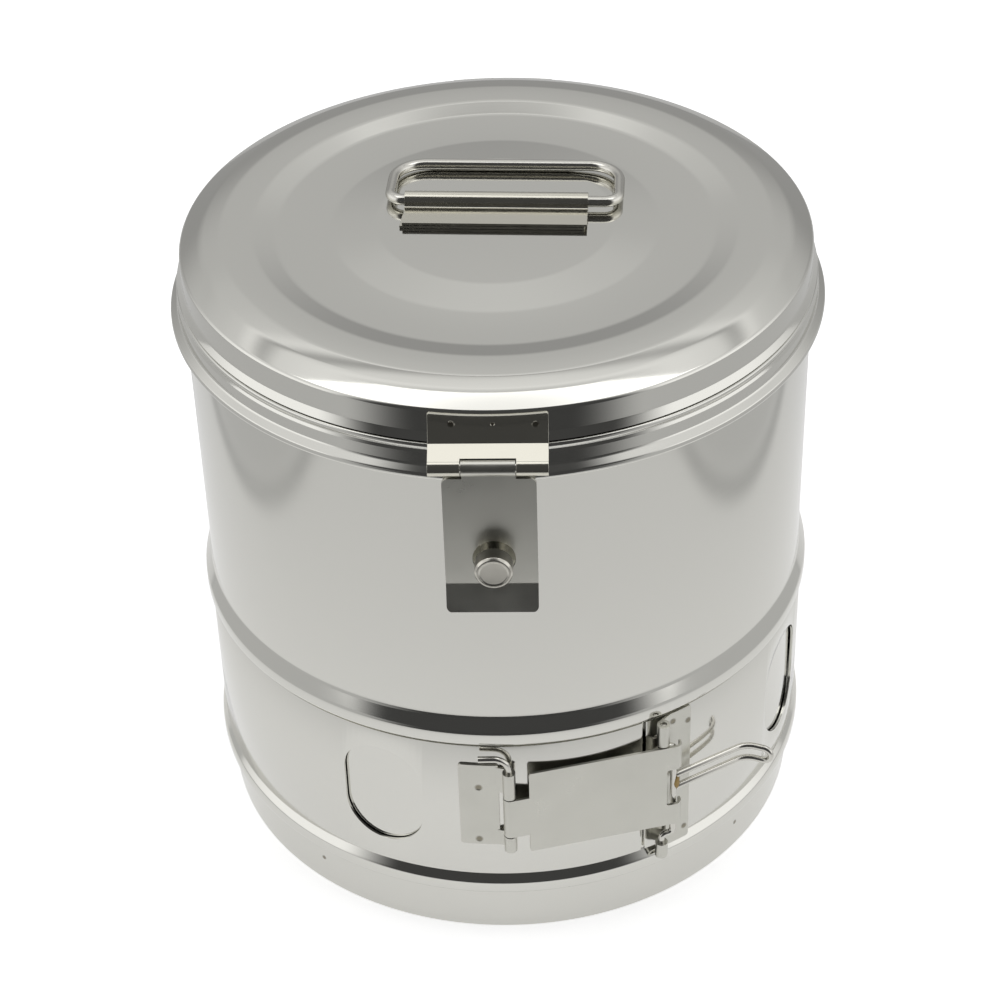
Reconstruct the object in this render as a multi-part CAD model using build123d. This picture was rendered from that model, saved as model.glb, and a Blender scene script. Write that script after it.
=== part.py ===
"""Sterilization drum: a round steel box with a hinged lid, a hasp and stud, and a vent band held by a
lever clamp. Millimetres, +Z up, origin on the ground on the drum's axis, latch towards -Y.
Azimuths are in degrees from the latch (-Y) towards +X."""
from build123d import *
import os
from math import asin, atan2, cos, degrees, hypot, radians, sin

# ------------------------------------------------------------------ driving sizes
# body
body_radius = 120.0           # outer radius of the plain wall
body_sheet = 0.8
foot_ring_inset = 0.8         # foot ring inside the plain wall
foot_ring_height = 22.4
foot_lip_width = 5.8          # turned-in edge that the drum stands on
foot_lip_bend = 1.5
skirt_bottom_z = 7.0          # lower end of the wall, inside the foot ring
foot_bead_height = 9.6
foot_bead_reach = 3.1         # how far a bead stands out of the wall
foot_bead_flat = 5.8          # height of its upright part
foot_seam_bend = 0.3          # sharp corner over the foot ring's edge
band_space = 68.5             # plain wall between the foot bead and the middle bead
mid_bead_height = 13.1
mid_bead_reach = 3.05
mid_bead_flat = 5.6
upper_wall_height = 112.6
rim_bead_height = 14.0
rim_bead_reach = 5.0
rim_roll_height = 2.4         # upright outer part of the bead
rim_shoulder_height = 2.1     # from there in to the upright part over the bead
rim_shoulder_reach = 2.1
bead_start = 1.0              # rise of the sheet as it turns out into a bead
foot_bead_low_bend = 2.2
foot_bead_high_bend = 3.0
foot_bead_root_bend = 2.0
mid_bead_root_bend = 0.9
mid_bead_low_bend = 2.0
mid_bead_high_bend = 5.0
rim_root_bend = 1.2
rim_low_bend = 1.2
rim_high_bend = 1.0
rim_shoulder_bend = 1.6
rim_lip_bend = 0.9
neck_inset = 1.8              # spigot that the lid slips over, inside the plain wall
neck_height = 8.9
base_z = 21.0                 # inside floor
base_flange = 9.0
base_bend = 3.0
fit_gap = 0.1                 # between welded or crimped sheets

# lid
lid_gap = 0.45                # between the lid's flange and the rim
lid_sheet = 0.8
lid_slip_gap = 0.7            # between the lid's skirt and the neck
lid_flange_reach = 1.8        # how far the flared flange stands out of the skirt
lid_flange_rise = 3.1
lid_skirt_height = 6.85
lid_crown_height = 6.85       # from the top of the skirt to the flat outer ring of the crown
lid_edge_rise = 2.15
lid_bevel_run = 8.2           # the edge slopes up this far in, then more gently to the flat outer ring
lid_bevel_rise = 3.5
lid_edge_run = 15.7           # skirt to the flat outer ring of the crown
lid_ring_width = 12.0
lid_slope_width = 9.0         # outer ring down to the valley
lid_valley_width = 21.0
lid_rise_width = 17.0         # valley up to the plateau
lid_valley_depth = 1.7
lid_plateau_drop = 0.3
lid_flange_bend = 3.0
lid_edge_bend = 2.0
lid_crown_bend = 12.0
lid_plateau_bend = 20.0

# vents
vent_count = 4
window_azimuth = -22.3        # first band window
window_width = 33.0
window_height = 48.0
window_rise = 34.9            # middle of a window above the band's lower edge
hole_azimuth = 22.7           # first group of body holes, closed off by the band between windows
hole_radius = 2.5
hole_spacing = 9.0
hole_columns = 3
hole_rows = 5

# band
band_clearance = 0.5
band_sheet = 1.0
band_bottom_gap = 0.4
band_top_gap = 0.6
band_split_azimuth = 27.0
band_split_width = 1.5

# hinges
leaf_sheet = 1.1
leaf_bend = 1.2
hinge_width = 41.7
knuckle_radius = 3.0
hinge_pin_radius = 1.85
hinge_pin_clearance = 0.05
middle_knuckle_width = 18.8
knuckle_gap = 0.3
knuckle_swing_gap = 0.4
hinge_axis_drop = 3.9         # below the rim's top edge
hinge_axis_reach = 3.0        # from a hanging leaf's inner face out to the hinge axis
leaf_rim_gap = 0.4            # between a hanging leaf and the rim bead
leaf_height = 8.4             # part of the lid leaf that is welded to the skirt
leaf_corner = 0.8
leaf_overrun = 6.0            # the tongue is drawn this far into the skirt, then trimmed to it
body_leaf_width = 33.0
body_leaf_height = 17.6       # part of the body leaf that is welded to the wall
body_leaf_drop = 1.0          # its bend below the rim bead
body_leaf_slant = 5.0
body_leaf_overrun = 3.0

# hasp and stud
hasp_width = 33.0
hasp_length = 64.4            # from the hinge axis
hasp_neck_length = 6.4
hasp_lip_height = 11.5
hasp_lip_angle = 12.0
hasp_corner = 2.5
hasp_bend = 4.0
stud_x = 1.0
stud_drop = 41.4              # below the hinge axis
stud_head_radius = 6.8
stud_face_radius = 6.0
stud_waist_radius = 5.0
stud_shank_radius = 3.0
stud_reach = 9.0              # how far the head stands out of the hasp
stud_cone = 1.8
stud_head_gap = 1.0           # between the hasp and the stud's cone
stud_hole_clearance = 0.9
washer_radius = 8.0
washer_thickness = 1.0
rivet_radius = 4.5
rivet_height = 1.3
rivet_face_radius = 3.15
rivet_crown = 0.78

# carrying handle
handle_skew_angle = -2.2      # the clip is welded on slightly askew
clip_length = 69.5
clip_depth = 18.5
clip_sheet = 1.2
clip_fold_shift = 1.0         # the lower leg stands out on the left
clip_fold_drop = 1.0          # the upper leg leaves the tunnel this far below the wire
clip_x = 0.3
clip_axis_y = 7.5
handle_wire_radius = 2.1
handle_wire_clearance = 0.1
handle_length = 86.8          # wire centre to wire centre
handle_reach = 29.0
handle_shift = 2.7            # the loop slides along the clip
handle_front_corner = 5.6
handle_back_corner = 12.0
handle_rest_gap = 0.2

# clamp
clamp_sheet = 1.0
clamp_wire_radius = 1.25
clamp_wire_clearance = 0.05
clamp_knuckle_radius = 2.5
bracket_corner = 1.2
knuckle_web_overlap = 1.0     # the web of a knuckle starts this far inside the bracket's edge
left_axis_azimuth = 1.7
left_axis_standoff = 3.8      # from the band's outer face
left_bracket_first_azimuth = -7.4
left_bracket_last_azimuth = -0.2
left_bracket_rise = 17.2      # above the band's lower edge
left_bracket_drop = 8.8       # below the band's upper edge
left_upper_knuckle_height = 12.5
left_lower_knuckle_height = 7.7
left_knuckle_step = 1.0       # the upper knuckle ends this far below the bracket's top
left_pin_hook = 11.6
left_pin_rise = 6.0
pin_bend = 6.0
right_axis_azimuth = 29.7
right_axis_standoff = 4.5
right_bracket_first_azimuth = 31.6
right_bracket_last_azimuth = 36.7
right_bracket_overhang = 1.5  # below the band's lower edge
right_bracket_overlap = 0.3   # above the band's upper edge
right_upper_knuckle_height = 10.0
right_lower_knuckle_height = 7.0
wire_end_step = 0.6           # a wire's end stands this far inside its knuckle
crank_throw = 4.53
crank_angle = 22.0            # direction of the crank bar from its axis, seen from above, from +X
crank_bend = 1.9
crank_top_gap = 2.1           # between the crank's arms and the right knuckles
crank_bottom_gap = 4.0
hook_clearance = 0.85         # round the crank bar
hook_wrap_angle = 20.0        # how far the hook goes on past straight right
plate_bottom_rise = 16.5      # above the band's lower edge
plate_height = 40.7
plate_left = 7.2              # from the left axis
plate_corner = 1.0
plate_notch_rise = 10.5       # above the plate's lower edge
plate_notch_height = 18.5
plate_notch_depth = 6.5
tongue_gap = 0.5
lever_rise = 36.3             # above the band's lower edge
lever_half_spread = 3.1
lever_angle = 32.0            # from +X, seen from above
lever_length = 33.7           # crank bar to the bend
lever_tip_length = 7.5
lever_tip_angle = 51.0
lever_bend = 9.0

# ------------------------------------------------------------------ sizes that follow
foot_bead_z = foot_ring_height + fit_gap
foot_bead_top_z = foot_bead_z + foot_bead_height
mid_bead_z = foot_bead_top_z + band_space
mid_bead_top_z = mid_bead_z + mid_bead_height
rim_bead_z = mid_bead_top_z + upper_wall_height
rim_z = rim_bead_z + rim_bead_height
neck_top_z = rim_z + neck_height
foot_ring_radius = body_radius - foot_ring_inset
skirt_radius = foot_ring_radius - body_sheet - fit_gap
rim_radius = body_radius + rim_bead_reach
neck_radius = body_radius - neck_inset
lid_skirt_radius = neck_radius + lid_slip_gap + lid_sheet
lid_flange_radius = lid_skirt_radius + lid_flange_reach
lid_shoulder_radius = lid_skirt_radius - lid_edge_run
lid_ring_radius = lid_shoulder_radius - lid_ring_width
lid_valley_outer = lid_ring_radius - lid_slope_width
lid_valley_inner = lid_valley_outer - lid_valley_width
lid_plateau_radius = lid_valley_inner - lid_rise_width
lid_flange_z = rim_z + lid_gap + lid_sheet / 2
lid_skirt_z = lid_flange_z + lid_flange_rise
lid_skirt_top_z = lid_skirt_z + lid_skirt_height
lid_top_z = lid_skirt_top_z + lid_crown_height
lid_plateau_z = lid_top_z - lid_plateau_drop
band_inner_radius = body_radius + band_clearance
band_radius = band_inner_radius + band_sheet
band_bottom_z = foot_bead_top_z + band_bottom_gap
band_top_z = mid_bead_z - band_top_gap
window_mid_z = band_bottom_z + window_rise
hinge_axis_z = rim_z - hinge_axis_drop
leaf_inner_radius = rim_radius + leaf_rim_gap
hinge_axis_radius = leaf_inner_radius + hinge_axis_reach
hinge_bore_radius = hinge_pin_radius + hinge_pin_clearance
stud_z = hinge_axis_z - stud_drop
stud_hole_radius = stud_head_radius + stud_hole_clearance
clip_bore_radius = handle_wire_radius + handle_wire_clearance
clip_tunnel_radius = clip_bore_radius + clip_sheet
handle_axis_z = lid_plateau_z + fit_gap + clip_tunnel_radius
handle_drop = handle_axis_z - lid_plateau_z - handle_wire_radius - handle_rest_gap
handle_tilt = degrees(asin(handle_drop / handle_reach))
bracket_inner_radius = band_radius + fit_gap
left_axis_radius = band_radius + left_axis_standoff
right_axis_radius = band_radius + right_axis_standoff
left_bracket_bottom_z = band_bottom_z + left_bracket_rise
left_bracket_top_z = band_top_z - left_bracket_drop
left_lower_knuckle_z = left_bracket_bottom_z + fit_gap + left_lower_knuckle_height
left_upper_knuckle_z = left_bracket_top_z - left_knuckle_step - left_upper_knuckle_height
right_bracket_bottom_z = band_bottom_z - right_bracket_overhang
right_bracket_top_z = band_top_z + right_bracket_overlap
right_lower_knuckle_z = right_bracket_bottom_z + right_lower_knuckle_height
right_upper_knuckle_z = right_bracket_top_z - right_upper_knuckle_height
crank_bottom_z = right_lower_knuckle_z + crank_bottom_gap
crank_top_z = right_upper_knuckle_z - crank_top_gap
plate_bottom_z = band_bottom_z + plate_bottom_rise
plate_top_z = plate_bottom_z + plate_height
plate_notch_bottom_z = plate_bottom_z + plate_notch_rise
plate_notch_top_z = plate_notch_bottom_z + plate_notch_height
lever_mid_z = band_bottom_z + lever_rise
clamp_bore_radius = clamp_wire_radius + clamp_wire_clearance
hook_radius = clamp_wire_radius + hook_clearance + clamp_sheet
UP = (Align.CENTER, Align.CENTER, Align.MIN)
# section plane through the latch: x is the distance from the drum's axis, y the height
LATCH_SECTION = Plane(origin=(0, 0, 0), x_dir=(0, -1, 0), z_dir=(-1, 0, 0))


# ------------------------------------------------------------------ helpers
def around(azimuth, radius, z=0.0):
    """Point at an azimuth from the latch."""
    return Vector(radius * sin(radians(azimuth)), -radius * cos(radians(azimuth)), z)


def facing(azimuth, radius, z=0.0):
    """Plane that looks outwards at an azimuth: x to the right, y up."""
    a = radians(azimuth)
    return Plane(origin=around(azimuth, radius, z), x_dir=(cos(a), sin(a), 0), z_dir=(sin(a), -cos(a), 0))


def tube(radius, inner, bottom, top):
    return Pos(0, 0, bottom) * (Cylinder(radius, top - bottom, align=UP) - Cylinder(inner, top - bottom, align=UP))


def ribbon(points, bends, thickness, side):
    """Section of a bent sheet: one face runs along the points and the metal lies to one side."""
    path = FilletPolyline(*points, radius=bends)
    return make_face(offset(path, amount=thickness, side=side, closed=True).edges())


def spun(section):
    """Section of radius by height, turned about the drum's axis."""
    return revolve(Plane.XZ * section, Axis.Z)


def along_x(section, width):
    """Section at the latch, pulled out to a width centred on it."""
    return Pos(width / 2, 0, 0) * extrude(LATCH_SECTION * section, width)


def x_rod(radius, width, distance, z):
    return Pos(0, -distance, z) * Rot(0, 90, 0) * Cylinder(radius, width)


def arc_plate(inner, thickness, start, end, bottom, top, corner):
    """Piece of tube wall between two azimuths, with round corners."""
    middle = (start + end) / 2
    width = 2 * (inner + thickness) * sin(radians((end - start) / 2))
    outline = Pos(0, (bottom + top) / 2) * RectangleRounded(width, top - bottom, corner)
    block = extrude(facing(middle, inner / 2) * outline, inner)
    return tube(inner + thickness, inner, bottom, top) & block


def strip(start, end, thickness, bottom, top):
    """Straight upright sheet between two plan points."""
    run = end - start
    middle = (start + end) * 0.5
    turn = degrees(atan2(run.Y, run.X))
    box = Box(hypot(run.X, run.Y), thickness, top - bottom, align=UP)
    return Pos(middle.X, middle.Y, bottom) * Rot(0, 0, turn) * box


def wire(path, radius):
    """Round wire along a path of lines and tangent arcs."""
    start = Plane(origin=path @ 0, z_dir=path % 0)
    return sweep(start * Circle(radius), path=path)


def upright(point, bottom, top, radius):
    return Pos(point.X, point.Y, bottom) * Cylinder(radius, top - bottom, align=UP)


# ------------------------------------------------------------------ body
def body_shell():
    foot_out = body_radius + foot_bead_reach
    mid_out = body_radius + mid_bead_reach
    roll_top_z = rim_bead_z + bead_start + rim_roll_height
    shoulder_radius = body_radius + rim_shoulder_reach
    points = [
        (skirt_radius, skirt_bottom_z),
        (skirt_radius, foot_bead_z),
        (foot_out, foot_bead_z),
        (foot_out, foot_bead_z + foot_bead_flat),
        (body_radius, foot_bead_top_z),
        (body_radius, mid_bead_z),
        (mid_out, mid_bead_z + bead_start),
        (mid_out, mid_bead_z + bead_start + mid_bead_flat),
        (body_radius, mid_bead_top_z),
        (body_radius, rim_bead_z),
        (rim_radius, rim_bead_z + bead_start),
        (rim_radius, roll_top_z),
        (shoulder_radius, roll_top_z + rim_shoulder_height),
        (shoulder_radius, rim_z),
        (neck_radius, rim_z),
        (neck_radius, neck_top_z),
    ]
    bends = [
        foot_seam_bend, foot_bead_low_bend, foot_bead_high_bend, foot_bead_root_bend,
        mid_bead_root_bend, mid_bead_low_bend, mid_bead_high_bend, mid_bead_high_bend,
        rim_root_bend, rim_low_bend, rim_high_bend, rim_shoulder_bend, rim_lip_bend, rim_lip_bend,
    ]
    shell = spun(ribbon(points, bends, body_sheet, Side.LEFT))
    cutters = [stud_place() * Cylinder(stud_shank_radius + fit_gap, 6 * body_sheet)]
    for k in range(vent_count):
        for column in range(hole_columns):
            offset_angle = degrees(hole_spacing / body_radius) * (column - (hole_columns - 1) / 2)
            azimuth = hole_azimuth + 360.0 / vent_count * k + offset_angle
            for row in range(hole_rows):
                z = window_mid_z + hole_spacing * (row - (hole_rows - 1) / 2)
                cutters.append(facing(azimuth, body_radius, z) * Cylinder(hole_radius, 6 * body_sheet))
    return shell - cutters


def base_plate():
    rim = skirt_radius - body_sheet - fit_gap
    points = [(0, base_z), (rim, base_z), (rim, base_z - base_flange)]
    return spun(ribbon(points, [base_bend], body_sheet, Side.RIGHT))


def foot_ring():
    points = [
        (foot_ring_radius - foot_lip_width, 0),
        (foot_ring_radius, 0),
        (foot_ring_radius, foot_ring_height),
    ]
    return spun(ribbon(points, [foot_lip_bend], body_sheet, Side.LEFT))


def stud_place():
    """On the outside of the wall, looking outwards."""
    return Location(Plane(origin=(stud_x, -body_radius, stud_z), x_dir=(1, 0, 0), z_dir=(0, -1, 0)))


def wall_inside():
    """How far behind the stud's seat a flat washer meets the curved wall."""
    inner = body_radius - body_sheet
    return body_radius - (inner ** 2 - (washer_radius + stud_x) ** 2) ** 0.5


def latch_stud():
    head_start = leaf_inner_radius + leaf_sheet - body_radius + stud_head_gap
    head_end = leaf_inner_radius + leaf_sheet - body_radius + stud_reach
    back = -wall_inside() - washer_thickness - fit_gap
    outline = Polyline(
        (0, back - rivet_height),
        (rivet_face_radius, back - rivet_height),
        (rivet_radius, back - rivet_height + rivet_crown),
        (rivet_radius, back),
        (stud_shank_radius, back),
        (stud_shank_radius, fit_gap),
        (stud_waist_radius, fit_gap),
        (stud_waist_radius, head_start),
        (stud_head_radius, head_start + stud_cone),
        (stud_head_radius, head_end - stud_head_radius + stud_face_radius),
        (stud_face_radius, head_end),
        (0, head_end),
        close=True,
    )
    return stud_place() * revolve(Plane.XZ * make_face(outline), Axis.Z)


def stud_washer():
    ring = Cylinder(washer_radius, washer_thickness, align=UP)
    ring -= Cylinder(stud_shank_radius + fit_gap, washer_thickness, align=UP)
    return stud_place() * Pos(0, 0, -wall_inside() - washer_thickness) * ring


# ------------------------------------------------------------------ hinges
def hinge_knuckle(width):
    return x_rod(knuckle_radius, width, hinge_axis_radius, hinge_axis_z)


def hinge_bore():
    return x_rod(hinge_bore_radius, 2 * hinge_width, hinge_axis_radius, hinge_axis_z)


def lid_leaf():
    """Leaf on the lid at the latch side: skirt pad, tongue over the flange and the two end knuckles."""
    slope = lid_flange_rise / (lid_flange_radius - lid_skirt_radius)
    lift = knuckle_swing_gap
    points = [
        (lid_skirt_radius - leaf_overrun, lid_skirt_z + lift + slope * leaf_overrun),
        (lid_flange_radius + lift, lid_flange_z + lift),
        (hinge_axis_radius, hinge_axis_z + hinge_bore_radius),
    ]
    tongue = along_x(ribbon(points, [leaf_bend], leaf_sheet, Side.LEFT), hinge_width)
    seat = lid_skirt_radius + fit_gap
    half_turn = degrees(asin(hinge_width / 2 / (seat + leaf_sheet)))
    pad = arc_plate(seat, leaf_sheet, -half_turn, half_turn, lid_skirt_z + lift, lid_skirt_z + leaf_height, leaf_corner)
    leaf = pad + (tongue - Pos(0, 0, lid_skirt_z) * Cylinder(seat, 4 * lid_skirt_height)) + hinge_knuckle(hinge_width)
    clear = x_rod(knuckle_radius + knuckle_swing_gap, middle_knuckle_width + 2 * knuckle_gap,
                  hinge_axis_radius, hinge_axis_z)
    return leaf - clear - hinge_bore()


def hinge_pin():
    return x_rod(hinge_pin_radius, hinge_width, hinge_axis_radius, hinge_axis_z)


def neck_outline(width, bottom, corner):
    """Front view of a leaf that hangs from the middle knuckle: a narrow neck over a wide plate."""
    shoulder = hinge_axis_z - hasp_neck_length
    plate = Pos(0, (shoulder + bottom) / 2) * RectangleRounded(width, shoulder - bottom, corner)
    neck = Pos(0, (shoulder + hinge_axis_z) / 2) * Rectangle(middle_knuckle_width, hinge_axis_z - shoulder + 2 * corner)
    return plate + neck


def rear_hinge_body_leaf():
    bend_z = rim_bead_z - body_leaf_drop
    foot_z = bend_z - body_leaf_slant
    bottom = foot_z - body_leaf_height
    seat = body_radius + fit_gap
    points = [
        (leaf_inner_radius, hinge_axis_z),
        (leaf_inner_radius, bend_z),
        (seat - body_leaf_overrun, foot_z - body_leaf_overrun),
    ]
    hanging = along_x(ribbon(points, [leaf_bend], leaf_sheet, Side.LEFT), body_leaf_width)
    half_turn = degrees(asin(body_leaf_width / 2 / (seat + leaf_sheet)))
    pad = arc_plate(seat, leaf_sheet, -half_turn, half_turn, bottom, foot_z, leaf_corner)
    hanging -= Pos(0, 0, foot_z) * Cylinder(seat, 4 * body_leaf_slant)
    outline = extrude(facing(0, body_radius / 2) * neck_outline(body_leaf_width, bottom, leaf_corner), body_radius)
    leaf = ((pad + hanging) & outline) + hinge_knuckle(middle_knuckle_width)
    return Rot(0, 0, 180) * (leaf - hinge_bore())


# ------------------------------------------------------------------ lid
def lid_shell():
    points = [
        (lid_flange_radius, lid_flange_z),
        (lid_skirt_radius, lid_skirt_z),
        (lid_skirt_radius, lid_skirt_top_z + lid_edge_rise),
        (lid_skirt_radius - lid_bevel_run, lid_skirt_top_z + lid_edge_rise + lid_bevel_rise),
        (lid_shoulder_radius, lid_top_z),
        (lid_ring_radius, lid_top_z),
        (lid_valley_outer, lid_top_z - lid_valley_depth),
        (lid_valley_inner, lid_top_z - lid_valley_depth),
        (lid_plateau_radius, lid_plateau_z),
        (0, lid_plateau_z),
    ]
    bends = [lid_flange_bend, lid_edge_bend, lid_crown_bend, lid_crown_bend, lid_crown_bend, lid_crown_bend,
             lid_plateau_bend, lid_plateau_bend]
    return spun(ribbon(points, bends, lid_sheet, Side.LEFT))


def handle_place():
    return Location((clip_x, clip_axis_y, 0), (0, 0, handle_skew_angle))


def handle_clip():
    """Sheet folded round the wire: a tunnel with two legs that lie on the lid in front of it."""
    leg = clip_depth - clip_tunnel_radius
    leg_bottom = lid_plateau_z + fit_gap
    edge = leg_bottom + 2 * clip_sheet - handle_axis_z
    touch = ((clip_bore_radius ** 2 - clip_fold_drop ** 2) ** 0.5 + clip_sheet / 2, -clip_fold_drop)
    along = Vector(leg - touch[0], edge - touch[1]).normalized()
    inward = Vector(along.Y, -along.X) * clip_sheet
    upper = Polyline(touch, (leg, edge), (leg + inward.X, edge + inward.Y),
                     (touch[0] + inward.X, touch[1] + inward.Y), close=True)
    section = Circle(clip_tunnel_radius) + make_face(upper)
    tunnel = Pos(0, 0, handle_axis_z) * (along_x(section, clip_length) - x_rod(clip_bore_radius, 2 * clip_length, 0, 0))
    lower = Pos(-clip_fold_shift, -leg / 2 - clip_bore_radius / 2, leg_bottom) * Box(
        clip_length, leg - clip_bore_radius, clip_sheet, align=UP)
    return handle_place() * (tunnel + lower)


def handle_loop():
    frame = Pos(0, handle_reach / 2) * Rectangle(handle_length, handle_reach)
    frame = fillet(frame.vertices().group_by(Axis.Y)[0], handle_front_corner)
    frame = fillet(frame.vertices().group_by(Axis.Y)[-1], handle_back_corner)
    loop = wire(frame.face().outer_wire(), handle_wire_radius)
    return handle_place() * Pos(handle_shift, 0, handle_axis_z) * Rot(-handle_tilt, 0, 0) * loop


def hasp_plate():
    bottom = hinge_axis_z - hasp_length
    bend_z = bottom + hasp_lip_height
    lean = hasp_lip_height * sin(radians(hasp_lip_angle))
    points = [(leaf_inner_radius, hinge_axis_z), (leaf_inner_radius, bend_z), (leaf_inner_radius + lean, bottom)]
    hanging = along_x(ribbon(points, [hasp_bend], leaf_sheet, Side.LEFT), hasp_width)
    outline = extrude(facing(0, body_radius / 2) * neck_outline(hasp_width, bottom, hasp_corner), body_radius)
    hasp = (hanging & outline) + hinge_knuckle(middle_knuckle_width) - hinge_bore()
    return hasp - stud_place() * Cylinder(stud_hole_radius, 4 * stud_reach)


# ------------------------------------------------------------------ vent band and clamp
def shutter_band():
    ring = tube(band_radius, band_inner_radius, band_bottom_z, band_top_z)
    deep = 8 * band_sheet
    cutters = []
    for k in range(vent_count):
        slot = extrude(SlotOverall(window_height, window_width, rotation=90), deep, both=True)
        cutters.append(facing(window_azimuth + 360.0 / vent_count * k, band_radius, window_mid_z) * slot)
    tall = 2 * band_top_z
    cutters.append(facing(band_split_azimuth, band_radius, 0) * Box(band_split_width, tall, deep))
    return ring - cutters


def left_axis():
    return around(left_axis_azimuth, left_axis_radius)


def right_axis():
    return around(right_axis_azimuth, right_axis_radius)


def crank_bar():
    a = radians(crank_angle)
    return right_axis() + Vector(crank_throw * cos(a), crank_throw * sin(a))


def bracket(start, end, bottom, top, axis_azimuth, axis_radius, knuckles):
    """Curved plate spot-welded to the band, with knuckles that stand off one of its edges."""
    near = end if axis_azimuth > end else start
    axis = around(axis_azimuth, axis_radius)
    inner_edge = axis_radius - clamp_knuckle_radius + clamp_sheet / 2
    sheet_mid = bracket_inner_radius + clamp_sheet / 2
    body = arc_plate(bracket_inner_radius, clamp_sheet, start, end, bottom, top, bracket_corner)
    overlap = degrees(knuckle_web_overlap / sheet_mid) * (1 if near == end else -1)
    for low, high in knuckles:
        body += strip(around(near - overlap, sheet_mid), around(axis_azimuth, inner_edge), clamp_sheet, low, high)
        body += upright(axis, low, high, clamp_knuckle_radius)
    body -= upright(axis, bottom - clamp_sheet, top + clamp_sheet, clamp_bore_radius)
    return body - Pos(0, 0, bottom) * Cylinder(bracket_inner_radius, top - bottom, align=UP)


def clamp_left_bracket():
    knuckles = [
        (left_bracket_bottom_z + fit_gap, left_lower_knuckle_z),
        (left_upper_knuckle_z, left_bracket_top_z - left_knuckle_step),
    ]
    return bracket(left_bracket_first_azimuth, left_bracket_last_azimuth, left_bracket_bottom_z, left_bracket_top_z,
                   left_axis_azimuth, left_axis_radius, knuckles)


def clamp_left_pin():
    axis = left_axis()
    top = left_bracket_top_z + left_pin_rise
    tangent = Vector(-cos(radians(left_axis_azimuth)), -sin(radians(left_axis_azimuth)))
    path = FilletPolyline(
        (axis.X, axis.Y, left_bracket_bottom_z + fit_gap),
        (axis.X, axis.Y, top),
        (axis.X + left_pin_hook * tangent.X, axis.Y + left_pin_hook * tangent.Y, top),
        radius=[pin_bend],
    )
    return wire(path, clamp_wire_radius)


def clamp_right_bracket():
    knuckles = [
        (right_bracket_bottom_z, right_lower_knuckle_z),
        (right_upper_knuckle_z, right_bracket_top_z),
    ]
    return bracket(right_bracket_first_azimuth, right_bracket_last_azimuth, right_bracket_bottom_z, right_bracket_top_z,
                   right_axis_azimuth, right_axis_radius, knuckles)


def clamp_plate():
    """Flat link: rolled on the left pin, hooked round the crank bar, drawn in plan from the left pin.
    Its outer face touches the knuckle roll and the hook."""
    span = crank_bar() - left_axis()
    length = hypot(span.X, span.Y)
    flare = asin((hook_radius - clamp_knuckle_radius) / length)
    hook_x = length * cos(flare)
    hook_y = hook_radius - clamp_knuckle_radius
    flat = Pos(hook_x / 2, -clamp_knuckle_radius + clamp_sheet / 2) * Rectangle(hook_x, clamp_sheet)
    roll = Circle(clamp_knuckle_radius)
    ring = Circle(hook_radius) - Circle(hook_radius - clamp_sheet)
    a = radians(hook_wrap_angle)
    far = 2 * hook_radius
    sector = Polyline((0, 0), (0, -far), (far, -far), (far, 0), (far * cos(a), far * sin(a)), close=True)
    hook = Pos(hook_x, hook_y) * (ring & make_face(sector))
    plan = (flat + roll + hook) - Circle(clamp_bore_radius)
    plate = Pos(0, 0, plate_bottom_z) * extrude(plan, plate_top_z - plate_bottom_z)
    right = hook_x + hook_radius
    middle = (plate_bottom_z + plate_top_z) / 2
    panel = Pos((plate_left + right) / 2, middle) * RectangleRounded(
        right - plate_left, plate_top_z - plate_bottom_z, plate_corner)
    notch_z = (plate_notch_bottom_z + plate_notch_top_z) / 2
    notch = Pos(right, notch_z) * RectangleRounded(
        2 * plate_notch_depth, plate_notch_top_z - plate_notch_bottom_z, plate_corner)
    tongue_low = left_lower_knuckle_z + tongue_gap
    tongue_high = left_upper_knuckle_z - tongue_gap
    tongue_left = -2 * clamp_knuckle_radius
    tongue_right = plate_left + 2 * plate_corner
    tongue = Pos((tongue_left + tongue_right) / 2, (tongue_low + tongue_high) / 2) * Rectangle(
        tongue_right - tongue_left, tongue_high - tongue_low)
    outline = extrude(Plane.XZ * (panel + tongue - notch), 4 * hook_radius, both=True)
    turn = degrees(atan2(span.Y, span.X) - flare)
    return Location((left_axis().X, left_axis().Y, 0), (0, 0, turn)) * (plate & outline)


def crank_wire():
    axis = right_axis()
    bar = crank_bar()
    path = FilletPolyline(
        (axis.X, axis.Y, right_bracket_bottom_z + wire_end_step),
        (axis.X, axis.Y, crank_bottom_z),
        (bar.X, bar.Y, crank_bottom_z),
        (bar.X, bar.Y, crank_top_z),
        (axis.X, axis.Y, crank_top_z),
        (axis.X, axis.Y, right_bracket_top_z - wire_end_step),
        radius=[crank_bend] * 4,
    )
    return wire(path, clamp_wire_radius)


def lever_handle():
    """Hairpin of wire welded to the crank bar."""
    bar = crank_bar()
    out = radians(lever_angle)
    tip = radians(lever_angle - lever_tip_angle)
    bend = Vector(bar.X + lever_length * cos(out), bar.Y + lever_length * sin(out))
    end = bend + Vector(lever_tip_length * cos(tip), lever_tip_length * sin(tip))
    high = lever_mid_z + lever_half_spread
    low = lever_mid_z - lever_half_spread
    cap = end + Vector(lever_half_spread * cos(tip), lever_half_spread * sin(tip))
    upper = FilletPolyline((bar.X, bar.Y, high), (bend.X, bend.Y, high), (end.X, end.Y, high), radius=[lever_bend])
    lower = FilletPolyline((end.X, end.Y, low), (bend.X, bend.Y, low), (bar.X, bar.Y, low), radius=[lever_bend])
    nose = ThreePointArc((end.X, end.Y, high), (cap.X, cap.Y, lever_mid_z), (end.X, end.Y, low))
    path = Wire(upper.edges() + [nose] + lower.edges())
    return wire(path, clamp_wire_radius) - crank_wire()


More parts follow.
